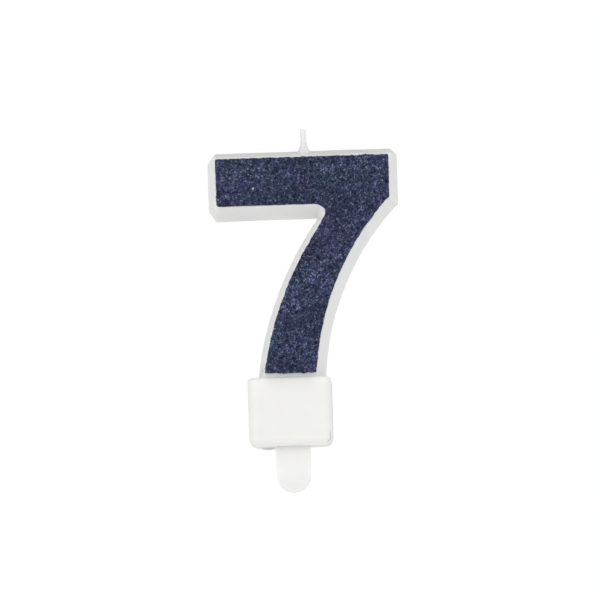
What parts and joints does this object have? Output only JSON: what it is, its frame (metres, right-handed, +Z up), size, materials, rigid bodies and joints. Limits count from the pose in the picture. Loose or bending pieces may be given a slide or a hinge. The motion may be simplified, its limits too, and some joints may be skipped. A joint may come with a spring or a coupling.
{
  "type": "number birthday candle",
  "caption": "Wax number candle shaped as a seven, with a navy glitter face and a wick, lifting out of a cream holder with a flat round-ended cake pick.",
  "frame": {"origin": "centre of the holder's underside, where it rests on the cake and the pick leaves it", "axes": "+Z up the candle to the wick, +X along the bar to the stem's side of the seven, -Y out of the glittered front face"},
  "size_m": [0.0516, 0.014, 0.0984],
  "materials": {
    "wax": "satin translucent wax",
    "wick_cotton": "waxed braided cotton",
    "navy_adhesive": "matt dried adhesive",
    "navy_glitter": "fine metallised film flakes",
    "cream_plastic": "satin translucent",
    "white_plastic": "satin"
  },
  "bodies": {
    "holder_body": {"holder": "cream_plastic", "pick": "white_plastic"},
    "figure_body": {"wax_figure": "wax", "wick": "wick_cotton", "bond_coat": "navy_adhesive", "glitter_layer": "navy_glitter"}
  },
  "joints": [
    {"name": "figure_lift", "type": "slide", "parent": "holder_body", "child": "figure_body", "axis": [0, 0, 1], "range_m": [0, 0.02]}
  ]
}
